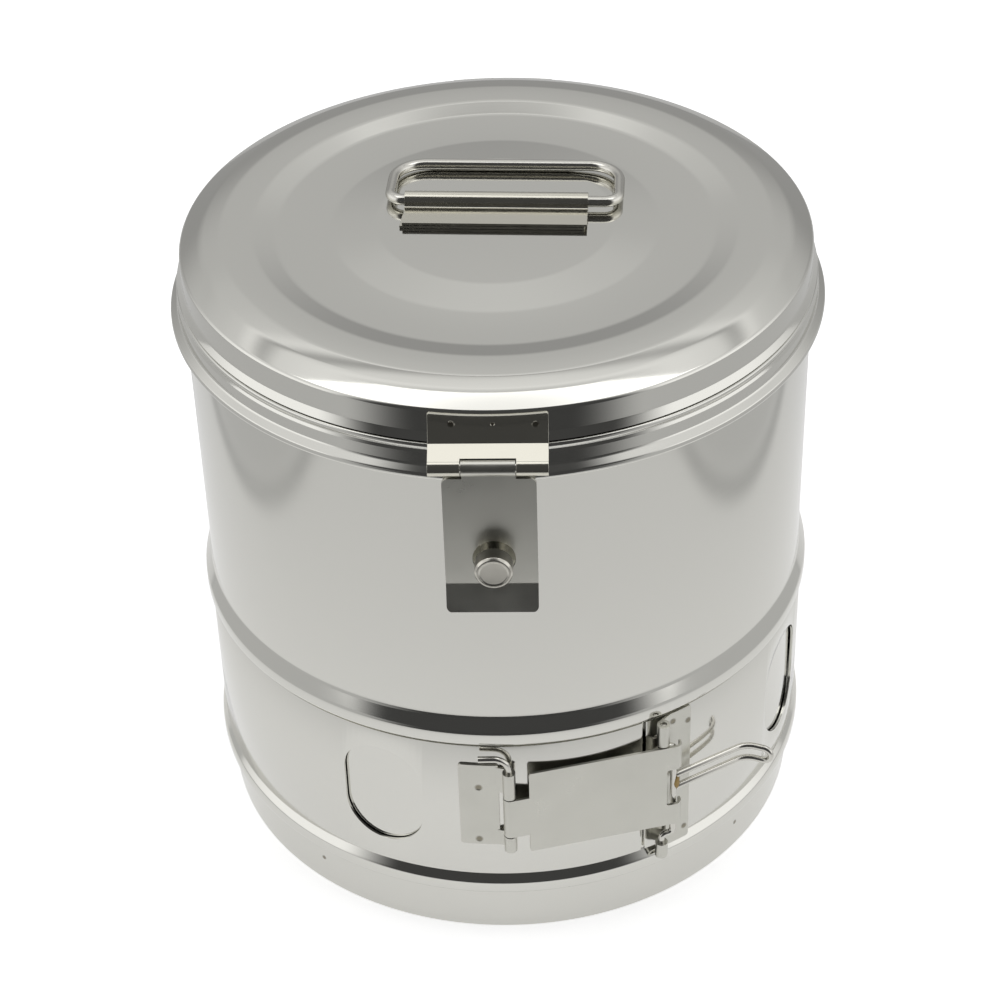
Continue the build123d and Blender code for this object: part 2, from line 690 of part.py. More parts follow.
# ------------------------------------------------------------------ nodes
NODES = {
    "body_shell": body_shell,
    "base_plate": base_plate,
    "foot_ring": foot_ring,
    "latch_stud": latch_stud,
    "stud_washer": stud_washer,
    "rear_hinge_body_leaf": rear_hinge_body_leaf,
    "rear_hinge_pin": lambda: Rot(0, 0, 180) * hinge_pin(),
    "lid_shell": lid_shell,
    "rear_hinge_lid_leaf": lambda: Rot(0, 0, 180) * lid_leaf(),
    "front_hinge_leaf": lid_leaf,
    "front_hinge_pin": hinge_pin,
    "handle_clip": handle_clip,
    "handle_loop": handle_loop,
    "hasp_plate": hasp_plate,
    "shutter_band": shutter_band,
    "clamp_left_bracket": clamp_left_bracket,
    "clamp_left_pin": clamp_left_pin,
    "clamp_right_bracket": clamp_right_bracket,
    "clamp_plate": clamp_plate,
    "crank_wire": crank_wire,
    "lever_handle": lever_handle,
}

os.makedirs("parts", exist_ok=True)
for name, make in NODES.items():
    export_step(make(), f"parts/{name}.step")
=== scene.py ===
"""Looks of the sterilization drum: polished stainless steel in a white light tent.
Lengths are named in millimetres and turned to metres by MM. Azimuths run from the latch (-Y) towards +X."""
from math import ceil, cos, degrees, hypot, pi, radians, sin, tan
import bpy
from mathutils import Matrix, Vector


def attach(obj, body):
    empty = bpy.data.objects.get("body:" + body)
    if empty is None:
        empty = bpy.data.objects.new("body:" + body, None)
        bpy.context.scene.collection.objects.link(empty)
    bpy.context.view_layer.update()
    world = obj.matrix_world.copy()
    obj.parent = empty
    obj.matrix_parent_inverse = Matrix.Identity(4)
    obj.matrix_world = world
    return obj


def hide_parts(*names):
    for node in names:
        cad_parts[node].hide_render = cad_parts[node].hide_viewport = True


MM = 0.001
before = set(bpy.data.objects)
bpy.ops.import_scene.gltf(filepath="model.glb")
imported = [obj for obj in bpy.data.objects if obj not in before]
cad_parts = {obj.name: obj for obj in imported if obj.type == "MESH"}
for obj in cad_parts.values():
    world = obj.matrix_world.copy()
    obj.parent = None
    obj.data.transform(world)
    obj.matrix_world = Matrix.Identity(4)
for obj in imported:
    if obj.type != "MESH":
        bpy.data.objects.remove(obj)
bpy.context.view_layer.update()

# ------------------------------------------------------------------ sizes (mm)
# body: radius and height of each corner of its section, and the bend there
BODY_RADIUS = 120.0
SHEET = 0.8
FOOT_TOP_Z = 22.5
BAND_BEAD_Z = 32.1
MID_BEAD_Z = 100.6
MID_BEAD_TOP_Z = 113.7
RIM_BEAD_Z = 226.3
RIM_Z = 240.3
BODY_SECTION = [
    (118.3, 7.0, 0),
    (118.3, FOOT_TOP_Z, 0.3),
    (123.1, FOOT_TOP_Z, 2.2),
    (123.1, 28.3, 3.0),
    (BODY_RADIUS, BAND_BEAD_Z, 2.0),
    (BODY_RADIUS, MID_BEAD_Z, 0.9),
    (123.05, 101.6, 2.0),
    (123.05, 107.2, 5.0),
    (BODY_RADIUS, MID_BEAD_TOP_Z, 5.0),
    (BODY_RADIUS, RIM_BEAD_Z, 1.2),
    (125.0, 227.3, 1.2),
    (125.0, 229.7, 1.0),
    (122.1, 231.8, 1.6),
    (122.1, 236.5, 0.4),
    (121.5, 237.7, 0.4),
    (121.9, 238.9, 0.4),
    (121.9, RIM_Z, 0.9),
    (118.2, RIM_Z, 0.9),
    (118.2, 249.2, 0),
]
FOOT_SECTION = [(113.4, 0.0, 0), (119.2, 0.0, 1.5), (119.2, 22.4, 0)]
BASE_SECTION = [(0.0, 21.0, 0), (117.4, 21.0, 3.0), (117.4, 12.0, 0)]
LID_TOP_Z = 257.95
LID_SECTION = [
    (121.5, 241.15, 0),
    (119.7, 244.25, 3.0),
    (119.7, 253.25, 2.0),
    (111.5, 256.75, 12.0),
    (104.0, LID_TOP_Z, 12.0),
    (92.0, LID_TOP_Z, 12.0),
    (83.0, 256.25, 12.0),
    (62.0, 256.25, 20.0),
    (45.0, 257.65, 20.0),
    (0.0, 257.65, 0),
]
BAND_RADIUS = 121.5
BAND_SHEET = 1.0
BAND_BOTTOM_Z = 32.5
BAND_TOP_Z = 100.0
WINDOW_AZIMUTH = -22.3
WINDOW_WIDTH = 33.0
WINDOW_HEIGHT = 48.0
WINDOW_MID_Z = 67.4
SPLIT_AZIMUTH = 27.0
SPLIT_WIDTH = 1.5
HOLE_AZIMUTH = 22.7
HOLE_RADIUS = 2.5
HOLE_SPACING = 9.0
HOLE_COLUMNS = 3
HOLE_ROWS = 5
VENTS = 4
# hinges, hasp and stud
STUD_X = 1.0
STUD_Z = 195.0
STUD_SECTION = [                # radius and height above the wall, corner bend
    (0.0, -3.54, 0), (3.3, -3.54, 0.5), (4.5, -3.0, 0.4), (4.5, -2.24, 0), (3.0, -2.24, 0), (3.0, 0.1, 0),
    (5.0, 0.1, 0), (5.0, 7.55, 0.2), (6.8, 9.35, 0.35), (6.8, 14.55, 0.6), (6.1, 15.55, 0.35),
    (5.3, 15.55, 0.3), (4.9, 15.25, 0.6), (0.0, 15.35, 0),
]
# carrying handle
HANDLE_SKEW = -2.2
HANDLE_X = 0.3
HANDLE_Y = 7.5
HANDLE_AXIS_Z = 261.15
HANDLE_TILT = -2.37
HANDLE_SHIFT = 2.7
HANDLE_LENGTH = 86.8
HANDLE_REACH = 29.0
HANDLE_WIRE = 2.1
HANDLE_FRONT_BEND = 5.6
HANDLE_BACK_BEND = 12.0
CLIP_LENGTH = 69.5
CLIP_RADIUS = 3.4
CLIP_SHEET = 1.1
CLIP_TOP = -1.0                # upper leg below the handle's axis
CLIP_FOLD_BEND = 0.8
CLIP_LEG = 15.1
CLIP_LEG_Z = 257.75
CLIP_FOLD_SHIFT = 1.0
# clamp
WIRE = 1.25
LEFT_AXIS = (3.717, -125.245)
LEFT_PIN_BOTTOM_Z = 49.8
LEFT_PIN_TOP_Z = 97.2
LEFT_PIN_HOOK = 11.6
LEFT_AXIS_AZIMUTH = 1.7
PIN_BEND = 6.0
RIGHT_AXIS = (62.427, -109.448)
CRANK_BAR = (66.627, -107.751)
CRANK_HEIGHTS = (31.6, 42.0, 88.2, 99.7)
CRANK_BEND = 1.9
LEVER_MID_Z = 68.8
LEVER_SPREAD = 3.1
LEVER_ANGLE = 32.0
LEVER_LENGTH = 33.7
LEVER_TIP_LENGTH = 7.5
LEVER_TIP_ANGLE = 51.0
LEVER_BEND = 9.0
LEVER_WELD = (1.7, 1.7, 4.4)     # half sizes of the weld bead at the lever's root
WELD_RIPPLE_SIZE = 1.4
WELD_RIPPLE_DEPTH = 0.5

AROUND = 288                  # faces round a shell
WIRE_SIDES = 32
WIRE_STEP = 7.5               # degrees of bend per ring of a wire
TURNED_STEPS = 96
ARC_STEP = 12.0               # degrees of bend per face of a section
HOLE_SIDES = 24
WINDOW_SIDES = 96
TUNNEL_STEPS = 30
TUNNEL_START = 10.0           # degrees above the wire's level, where the clip's tunnel leaves its upper leg
MERGE_FINE = 0.001            # points closer than this are one point
MERGE_COARSE = 0.002
FLAT_ENOUGH = 0.7             # degrees between triangles that are one flat face
HOLE_BIT_DEPTH = 6.0
WINDOW_BIT_DEPTH = 16.0
SPLIT_BIT = (SPLIT_WIDTH, 200.0, 8.0)
PUNCHED_EDGE = 0.15           # widths of eased edges
SHEARED_EDGE = 0.12
FITTING_EDGE = 0.15
FILED_END = 0.18              # share of the wire's radius

# camera: worked out from the photograph
CAMERA_AT = (33.6, -837.3, 764.2)
CAMERA_FORWARD = (-0.0334, 0.7940, -0.6069)
CAMERA_ROLL = 1.80
CAMERA_LENS = 92.93
SENSOR = 36.0

# light tent (m, and brightness with 1 as white)
TENT_CORNER = (0.095, 0.157, 0.0)
TENT_CORNER_RADIUS = 0.228
# painted pool of light: the paper is brightest near the drum and fades towards the tent walls
PAPER_NEAR = 0.98
PAPER_FAR = 0.72
PAPER_NEAR_AT = 0.12
PAPER_FAR_AT = 0.40
# painted on the floor past the paper's edge: the glow of the lit tent walls at the sides, and the dark room
# in front
SIDE_WALL = 0.58
DARK_ROOM = 0.06
# painted shade: a thin dark line along the paper's fold up into the tent walls, left out in front
FOLD_SHADE_DEPTH = 0.35
FOLD_SHADE_WIDTH = 0.013
PAPER_EDGE = (-0.004, 0.02)    # the paper fades out between these distances past its edge
MIRRORED_GLOW = 0.5            # the paper as the steel mirrors it: a painted glow, and the shade the lamps give it
MIRRORED_SHADE = 0.65
PAPER_GLOW = 0.62              # light of the paper in the camera's view, which makes it clean white
# brightness of the tent by the sine of the elevation
BACK_TONES = [(0.0, 0.36), (0.28, 0.36), (0.52, 0.56), (0.61, 0.64), (0.67, 0.70), (0.71, 0.92),
              (0.748, 0.42), (0.79, 0.85), (0.87, 0.95), (0.95, 0.70), (1.0, 0.10)]
SIDE_TONES = [(0.0, 1.15), (0.4, 1.15), (0.6, 0.85), (0.87, 0.85), (0.95, 0.6), (1.0, 0.10)]
FRONT_TONES = [(0.0, 0.06), (0.70, 0.06), (0.90, 0.07), (1.0, 0.10)]
BACK_TO_SIDE = (-0.90, 0.05)   # how far a direction points to the front, from -1 to 1
SIDE_TO_FRONT = (0.48, 0.78)
ROOM_TO_FRONT = (0.66, 0.92)
LAMP_POWER = 3.8
LAMP_AT = (0.0, -0.05, 1.5)
LAMP_SIZE = (1.8, 0.6)

# spot welds: azimuth, radius, height and radius of the mark
BRACKET_WELDS = [(-3.8, 122.5, 79.8, 1.9), (-4.0, 122.5, 52.5, 1.9), (32.7, 122.5, 96.0, 1.7),
                 (36.1, 122.5, 93.0, 1.7), (35.7, 122.5, 37.0, 1.7)]
LEAF_WELDS = [(-6.0, 120.9, 248.8, 1.7), (7.8, 120.9, 248.3, 1.7), (0.8, 120.9, 249.2, 0.9)]
FOOT_WELDS = [(-38.2, 119.2, 13.5, 1.3), (51.8, 119.2, 13.5, 1.3)]
WELD_DEPTH = 0.25
WELD_CORE = 0.4                # share of the radius that is fully pressed in


# ------------------------------------------------------------------ helpers
def tidy_selection():
    if bpy.context.object and bpy.context.object.mode != "OBJECT":
        bpy.ops.object.mode_set(mode="OBJECT")
    bpy.ops.object.select_all(action="DESELECT")


def name_piece(name):
    piece = bpy.context.object
    piece.name = name
    piece.data.name = name
    return piece


def apply_all(piece):
    tidy_selection()
    bpy.context.view_layer.objects.active = piece
    piece.select_set(True)
    for modifier in list(piece.modifiers):
        bpy.ops.object.modifier_apply(modifier=modifier.name)
    bpy.ops.object.transform_apply(location=True, rotation=True, scale=True)


def round_corners(corners):
    """Points along a section, with each of its corners (x, y, bend) rounded."""
    points = [Vector(corners[0][:2])]
    for before, corner, after in zip(corners, corners[1:], corners[2:]):
        at = Vector(corner[:2])
        back = (Vector(before[:2]) - at).normalized()
        on = (Vector(after[:2]) - at).normalized()
        turn = pi - back.angle(on)
        bend = corner[2]
        if not bend or turn < 1e-4:
            points.append(at)
            continue
        leg = bend * tan(turn / 2)
        centre = at + (back + on).normalized() * (bend / cos(turn / 2))
        start = at + back * leg - centre
        finish = at + on * leg - centre
        side = 1 if start.x * finish.y - start.y * finish.x > 0 else -1
        steps = max(2, ceil(degrees(turn) / ARC_STEP))
        for k in range(steps + 1):
            a = side * turn * k / steps
            spoke = (start.x * cos(a) - start.y * sin(a), start.x * sin(a) + start.y * cos(a))
            points.append(centre + Vector(spoke))
    points.append(Vector(corners[-1][:2]))
    return points


def drawn_line(name, points):
    """Starts a piece, in edit mode, as one vertex drawn out along the points."""
    tidy_selection()
    bpy.ops.mesh.primitive_plane_add(size=2 * MM, location=points[0])
    piece = name_piece(name)
    bpy.ops.object.transform_apply(location=True)
    bpy.ops.object.mode_set(mode="EDIT")
    bpy.ops.mesh.select_mode(type="VERT")
    bpy.ops.mesh.select_all(action="SELECT")
    bpy.ops.mesh.merge(type="CENTER")
    for here, there in zip(points, points[1:]):
        bpy.ops.mesh.extrude_region_move(TRANSFORM_OT_translate={"value": there - here})
    bpy.ops.mesh.select_all(action="SELECT")
    return piece


def spin_round(steps):
    """Spins the drawn line about Z into a closed, merged surface and leaves edit mode."""
    bpy.ops.mesh.spin(steps=steps, angle=2 * pi, center=(0, 0, 0), axis=(0, 0, 1))
    bpy.ops.mesh.select_all(action="SELECT")
    bpy.ops.mesh.remove_doubles(threshold=MERGE_FINE * MM)
    bpy.ops.mesh.normals_make_consistent(inside=False)
    bpy.ops.object.mode_set(mode="OBJECT")


def turn_inside_out():
    bpy.ops.object.mode_set(mode="EDIT")
    bpy.ops.mesh.select_all(action="SELECT")
    bpy.ops.mesh.flip_normals()
    bpy.ops.object.mode_set(mode="OBJECT")


def give_thickness(piece, sheet):
    """The surface is the sheet's outer face; the metal lies behind it."""
    wall = piece.modifiers.new("wall", "SOLIDIFY")
    wall.thickness = sheet * MM
    wall.offset = -1
    wall.use_even_offset = True
    apply_all(piece)


def ease_edges(piece, name, width, angle, segments=2):
    """Rounds off the edges that are sharper than the angle."""
    edges = piece.modifiers.new(name, "BEVEL")
    edges.width = width * MM
    edges.segments = segments
    edges.limit_method = "ANGLE"
    edges.angle_limit = radians(angle)
    apply_all(piece)


def spun_shell(name, section, sheet, outside_on_left):
    """Sheet metal turned about the drum's axis: an edge is drawn out point by point and spun."""
    points = [p * MM for p in round_corners(section)]
    piece = drawn_line(name, [Vector((p.x, 0, p.y)) for p in points])
    spin_round(AROUND)
    k = (len(points) - 1) // 2
    middle = (points[k] + points[k + 1]) / 2
    run = points[k + 1] - points[k]

    def off_middle(face):
        at = face.center
        return (Vector((hypot(at.x, at.y), at.z)) - middle).length

    face = min(piece.data.polygons, key=off_middle)
    away = Vector(face.center[:2]).normalized()
    outward = Vector((Vector(face.normal[:2]).dot(away), face.normal.z))
    if (outward.dot(Vector((-run.y, run.x))) > 0) != outside_on_left:
        turn_inside_out()
    give_thickness(piece, sheet)
    return piece


def wire_piece(name, corners, bends, radius, closed=False):
    """Round wire: a circle is drawn out along each straight run and spun round each bend. Closed, it starts
    and ends in the middle of its first side. With no window, spin turns against its axis."""
    points = [Vector(c) * MM for c in corners]
    if closed:
        middle = (points[0] + points[1]) / 2
        points = [middle] + points[1:] + [points[0], middle]
    here = points[0]
    along = (points[1] - here).normalized()
    tidy_selection()
    bpy.ops.mesh.primitive_circle_add(vertices=WIRE_SIDES, radius=radius * MM, location=here,
                                      rotation=along.to_track_quat("Z", "Y").to_euler())
    piece = name_piece(name)
    bpy.ops.object.transform_apply(location=True, rotation=True)
    bpy.ops.object.mode_set(mode="EDIT")
    bpy.ops.mesh.select_mode(type="VERT")
    bpy.ops.mesh.select_all(action="SELECT")
    for k, corner in enumerate(points[1:]):
        along = (corner - here).normalized()
        last = k == len(points) - 2
        on = along if last else (points[k + 2] - corner).normalized()
        turn = along.angle(on)
        bend = 0.0 if last else bends[k] * MM
        leg = bend * tan(turn / 2)
        run = (corner - here).dot(along) - leg
        if run > 0.01 * MM:
            bpy.ops.mesh.extrude_region_move(TRANSFORM_OT_translate={"value": along * run})
        if not last:
            axis = along.cross(on).normalized()
            centre = corner - along * leg + axis.cross(along) * bend
            steps = max(2, ceil(degrees(turn) / WIRE_STEP))
            bpy.ops.mesh.spin(steps=steps, angle=-turn, center=centre, axis=axis)
        here = corner + on * leg
    bpy.ops.mesh.select_all(action="SELECT")
    bpy.ops.mesh.remove_doubles(threshold=MERGE_COARSE * MM)
    bpy.ops.mesh.fill_holes(sides=0)
    bpy.ops.mesh.select_all(action="SELECT")
    bpy.ops.mesh.normals_make_consistent(inside=False)
    bpy.ops.object.mode_set(mode="OBJECT")
    ease_edges(piece, "filed_ends", radius * FILED_END, 60, segments=3)
    smooth(piece)
    return piece


def drawn_sheet(name, path, pull, sheet, outward):
    """Bent sheet metal: its outer face is a vertex drawn along the path and pulled sideways."""
    points = [Vector(p) * MM for p in path]
    piece = drawn_line(name, points)
    bpy.ops.mesh.extrude_region_move(TRANSFORM_OT_translate={"value": Vector(pull) * MM})
    bpy.ops.mesh.select_all(action="SELECT")
    bpy.ops.mesh.normals_make_consistent(inside=False)
    bpy.ops.object.mode_set(mode="OBJECT")
    middle = (points[0] + points[1]) / 2 + Vector(pull) * MM / 2
    face = min(piece.data.polygons, key=lambda f: (f.center - middle).length)
    if face.normal.dot(Vector(outward)) < 0:
        turn_inside_out()
    give_thickness(piece, sheet)
    return piece


def turned_part(name, section, place):
    """Part turned on a lathe about its own axis, then put in place."""
    points = [p * MM for p in round_corners(section)]
    piece = drawn_line(name, [Vector((p.x, 0, p.y)) for p in points])
    spin_round(TURNED_STEPS)
    piece.matrix_world = place
    apply_all(piece)
    smooth(piece)
    return piece


def flatten_shading(piece):
    """Lets the large faces set the shading, so that flat sheet mirrors as flat between its eased edges."""
    piece.modifiers.new("flat_faces", "WEIGHTED_NORMAL").keep_sharp = True
    apply_all(piece)


def eased_copy(node, name, angle=35.0):
    """Copy of a CAD node with its loose triangles merged into faces and its sharp edges eased."""
    tidy_selection()
    piece = bpy.data.objects.new(name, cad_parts[node].data.copy())
    piece.data.name = name
    bpy.context.scene.collection.objects.link(piece)
    bpy.context.view_layer.objects.active = piece
    piece.select_set(True)
    bpy.ops.object.mode_set(mode="EDIT")
    bpy.ops.mesh.select_all(action="SELECT")
    bpy.ops.mesh.remove_doubles(threshold=MERGE_COARSE * MM)
    bpy.ops.mesh.dissolve_limited(angle_limit=radians(FLAT_ENOUGH))
    bpy.ops.object.mode_set(mode="OBJECT")
    ease_edges(piece, "eased_edges", FITTING_EDGE, angle)
    smooth(piece, angle)
    flatten_shading(piece)
    return piece


def smooth(piece, angle=30.0):
    tidy_selection()
    bpy.context.view_layer.objects.active = piece
    piece.select_set(True)
    bpy.ops.object.shade_smooth_by_angle(angle=radians(angle))


def cut(piece, cutters):
    """Takes the cutters out of the piece and deletes them."""
    for cutter in cutters:
        hole = piece.modifiers.new("hole", "BOOLEAN")
        hole.operation = "DIFFERENCE"
        hole.solver = "EXACT"
        hole.object = cutter
    apply_all(piece)
    for cutter in cutters:
        bpy.data.objects.remove(cutter)


def outward_matrix(azimuth, radius, z):
    """Place on a cylinder: x to the right seen from outside, y up, z outwards."""
    a = radians(azimuth)
    return Matrix(((cos(a), 0, sin(a), radius * MM * sin(a)),
                   (sin(a), 0, -cos(a), -radius * MM * cos(a)),
                   (0, 1, 0, z * MM),
                   (0, 0, 0, 1)))


# ------------------------------------------------------------------ materials
def linear(hex_colour):
    channels = [int(hex_colour[i:i + 2], 16) / 255 for i in (1, 3, 5)]
    return [c / 12.92 if c <= 0.04045 else ((c + 0.055) / 1.055) ** 2.4 for c in channels] + [1]


def per_mm(size):
    """Pattern scale for features of this size; the patterns are placed in metres."""
    return 1 / (size * MM)


def add_node(tree, kind, inputs=None, **settings):
    """One node with its settings; each input is a value or another node's output."""
    node = tree.nodes.new(kind)
    for key, value in settings.items():
        setattr(node, key, value)
    for socket, value in (inputs or {}).items():
        if isinstance(value, bpy.types.NodeSocket):
            tree.links.new(value, node.inputs[socket])
        else:
            node.inputs[socket].default_value = value
    return node


def new_material(name):
    material = bpy.data.materials.new(name)
    material.use_nodes = True
    tree = material.node_tree
    tree.nodes.clear()
    return material, tree


def weld_mask(tree, place, welds):
    """1 in the middle of each spot weld, 0 away from them."""
    mask = 0.0
    for azimuth, radius, height, size in welds:
        a = radians(azimuth)
        centre = (radius * sin(a) * MM, -radius * cos(a) * MM, height * MM)
        away = add_node(tree, "ShaderNodeVectorMath", {0: place, 1: centre}, operation="DISTANCE")
        spot = add_node(tree, "ShaderNodeMapRange",
                        {"Value": away.outputs["Value"], "From Min": WELD_CORE * size * MM,
                         "From Max": size * MM, "To Min": 1.0, "To Max": 0.0},
                        interpolation_type="SMOOTHSTEP")
        mask = add_node(tree, "ShaderNodeMath", {0: spot.outputs["Result"], 1: mask},
                        operation="MAXIMUM").outputs[0]
    return mask


def steel(name, colour, roughness, haze, streak, wave, welds=()):
    """Stainless steel. haze: size of the cloudy wipe marks (mm) and how much rougher they are.
    streak: spacing of the fine lines round the drum (mm), how much rougher they are and how deep (mm).
    wave: length and height of the slow waviness (mm). welds: where spot welds are pressed in."""
    material, tree = new_material(name)
    place = add_node(tree, "ShaderNodeTexCoord").outputs["Object"]
    cloud = add_node(tree, "ShaderNodeTexNoise", {"Vector": place, "Scale": per_mm(haze[0]), "Detail": 4.0,
                                                  "Roughness": 0.6})
    hazy = add_node(tree, "ShaderNodeMapRange",
                    {"Value": cloud.outputs["Fac"], "From Min": 0.35, "From Max": 0.75,
                     "To Min": roughness, "To Max": roughness + haze[1]})
    level = add_node(tree, "ShaderNodeVectorMath", {0: place, 1: (1, 1, 0)}, operation="MULTIPLY")
    radius = add_node(tree, "ShaderNodeVectorMath", {0: level.outputs["Vector"]}, operation="LENGTH")
    height = add_node(tree, "ShaderNodeSeparateXYZ", {"Vector": place})
    ring = add_node(tree, "ShaderNodeCombineXYZ", {"X": radius.outputs["Value"], "Z": height.outputs["Z"]})
    lines = add_node(tree, "ShaderNodeTexNoise",
                     {"Vector": ring.outputs["Vector"], "Scale": per_mm(streak[0]), "Detail": 3.0})
    spread = add_node(tree, "ShaderNodeMath",
                      {0: lines.outputs["Fac"], 1: streak[1], 2: hazy.outputs["Result"]},
                      operation="MULTIPLY_ADD")
    waves = add_node(tree, "ShaderNodeTexNoise", {"Vector": place, "Scale": per_mm(wave[0]), "Detail": 2.0})
    wavy = add_node(tree, "ShaderNodeBump", {"Height": waves.outputs["Fac"], "Distance": wave[1] * MM})
    lined = add_node(tree, "ShaderNodeBump", {"Height": lines.outputs["Fac"], "Distance": streak[2] * MM,
                                              "Normal": wavy.outputs["Normal"]})
    tint, surface = linear(colour), lined.outputs["Normal"]
    if welds:
        marks = weld_mask(tree, place, welds)
        tint = add_node(tree, "ShaderNodeMix", {0: marks, 6: tint, 7: linear(WELD_TINT)},
                        data_type="RGBA").outputs[2]
        surface = add_node(tree, "ShaderNodeBump",
                           {"Height": marks, "Distance": WELD_DEPTH * MM, "Normal": surface},
                           invert=True).outputs["Normal"]
    shader = add_node(tree, "ShaderNodeBsdfPrincipled", {"Base Color": tint, "Roughness": spread.outputs[0],
                                                         "Normal": surface, "Metallic": 1.0})
    add_node(tree, "ShaderNodeOutputMaterial", {"Surface": shader.outputs["BSDF"]})
    return material


WELD_TINT = "#8f8a7c"
# Sheet spun and buffed to a mirror: clear reflections, drawn out a little round the drum by the buffing lines
mirror_sheet = steel("buffed_mirror_stainless_sheet", "#dddcd6", 0.05, haze=(55, 0.05),
                     streak=(0.7, 0.04, 0.0006), wave=(110, 0.05), welds=FOOT_WELDS)
# Sheet left satin by rolling and pickling: soft, even grey with no sharp reflection
satin_sheet = steel("rolled_satin_stainless_sheet", "#cfcec6", 0.25, haze=(12, 0.10),
                    streak=(0.35, 0.06, 0.002), wave=(30, 0.02), welds=BRACKET_WELDS)
# Wire drawn bright through a die: a crisp line of light along its length
bright_wire = steel("drawn_bright_stainless_wire", "#d6d4cd", 0.12, (9, 0.06), (0.3, 0.03, 0.001), (25, 0.01))
# Strip polished after bending: nearly a mirror, with fine scratches across the bends
polished_strip = steel("polished_stainless_strip", "#dad7cb", 0.10, haze=(10, 0.08),
                       streak=(0.4, 0.05, 0.002), wave=(30, 0.02), welds=LEAF_WELDS)
# Bar turned on a lathe: rings that blur the light across them
turned_steel = steel("turned_stainless_bar", "#cfccc3", 0.15, (8, 0.08), (0.3, 0.06, 0.002), (20, 0.01))
# Fused weld metal coloured by its heat: a dull straw-brown bead
weld_metal = steel("heat_tinted_weld_metal", "#9c8558", 0.35, (3, 0.15), (0.5, 0.08, 0.01), (6, 0.1))


def dress(piece, material, body, node=None):
    piece.data.materials.clear()
    piece.data.materials.append(material)
    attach(piece, body)
    if node:
        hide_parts(node)
    return piece


# ------------------------------------------------------------------ shells
def make_body():
    body = spun_shell("body", BODY_SECTION, SHEET, False)
    bits = []
    for k in range(VENTS):
        for column in range(HOLE_COLUMNS):
            turn = degrees(HOLE_SPACING / BODY_RADIUS) * (column - (HOLE_COLUMNS - 1) / 2)
            for row in range(HOLE_ROWS):
                z = WINDOW_MID_Z + HOLE_SPACING * (row - (HOLE_ROWS - 1) / 2)
                tidy_selection()
                bpy.ops.mesh.primitive_cylinder_add(vertices=HOLE_SIDES, radius=HOLE_RADIUS * MM,
                                                    depth=HOLE_BIT_DEPTH * MM)
                bit = name_piece("bit")
                bit.matrix_world = outward_matrix(HOLE_AZIMUTH + 360 / VENTS * k + turn, BODY_RADIUS, z)
                bits.append(bit)
    tidy_selection()
    for bit in bits:
        bit.select_set(True)
    bpy.context.view_layer.objects.active = bits[0]
    bpy.ops.object.join()
    cut(body, [bits[0]])
    smooth(body)
    dress(body, mirror_sheet, "drum", "body_shell")


def make_band():
    section = [(BAND_RADIUS, BAND_BOTTOM_Z, 0), (BAND_RADIUS, BAND_TOP_Z, 0)]
    band = spun_shell("vent_band", section, BAND_SHEET, False)
    cutters = []
    for k in range(VENTS):
        tidy_selection()
        bpy.ops.mesh.primitive_cylinder_add(vertices=WINDOW_SIDES, radius=WINDOW_WIDTH / 2 * MM,
                                            depth=WINDOW_BIT_DEPTH * MM)
        window = name_piece("window")
        bpy.ops.object.mode_set(mode="EDIT")
        bpy.ops.mesh.select_all(action="DESELECT")
        bpy.ops.object.mode_set(mode="OBJECT")
        for vertex in window.data.vertices:
            vertex.select = vertex.co.y > 0.01 * MM
        bpy.ops.object.mode_set(mode="EDIT")
        bpy.ops.transform.translate(value=(0, (WINDOW_HEIGHT - WINDOW_WIDTH) / 2 * MM, 0))
        bpy.ops.mesh.select_all(action="INVERT")
        bpy.ops.transform.translate(value=(0, -(WINDOW_HEIGHT - WINDOW_WIDTH) / 2 * MM, 0))
        bpy.ops.object.mode_set(mode="OBJECT")
        window.matrix_world = outward_matrix(WINDOW_AZIMUTH + 360 / VENTS * k, BAND_RADIUS, WINDOW_MID_Z)
        cutters.append(window)
    tidy_selection()
    bpy.ops.mesh.primitive_cube_add(size=1)
    split = name_piece("split")
    split.matrix_world = outward_matrix(SPLIT_AZIMUTH, BAND_RADIUS, WINDOW_MID_Z) @ Matrix.Diagonal(
        (*(size * MM for size in SPLIT_BIT), 1))
    cut(band, cutters + [split])
    ease_edges(band, "punched_edges", PUNCHED_EDGE, 50)
    smooth(band)
    dress(band, mirror_sheet, "vent_band", "shutter_band")


def make_plain_shells():
    lid = spun_shell("lid", LID_SECTION, SHEET, False)
    smooth(lid, 40)
    dress(lid, mirror_sheet, "lid", "lid_shell")
    foot = spun_shell("foot", FOOT_SECTION, SHEET, False)
    smooth(foot)
    dress(foot, mirror_sheet, "drum", "foot_ring")
    base = spun_shell("base", BASE_SECTION, SHEET, True)
    smooth(base)
    dress(base, mirror_sheet, "drum", "base_plate")


# ------------------------------------------------------------------ carrying handle
def handle_place():
    return Matrix.Translation((HANDLE_X, HANDLE_Y, 0)) @ Matrix.Rotation(radians(HANDLE_SKEW), 4, "Z")


def make_handle():
    place = handle_place() @ Matrix.Translation((HANDLE_SHIFT, 0, HANDLE_AXIS_Z)) @ Matrix.Rotation(
        radians(HANDLE_TILT), 4, "X")
    half = HANDLE_LENGTH / 2
    corners = [(-half, 0), (half, 0), (half, HANDLE_REACH), (-half, HANDLE_REACH)]
    bends = [HANDLE_FRONT_BEND, HANDLE_BACK_BEND, HANDLE_BACK_BEND, HANDLE_FRONT_BEND]
    path = [place @ Vector((x, y, 0)) for x, y in corners]
    loop = wire_piece("handle_wire", path, bends, HANDLE_WIRE, closed=True)
    dress(loop, bright_wire, "carry_handle", "handle_loop")


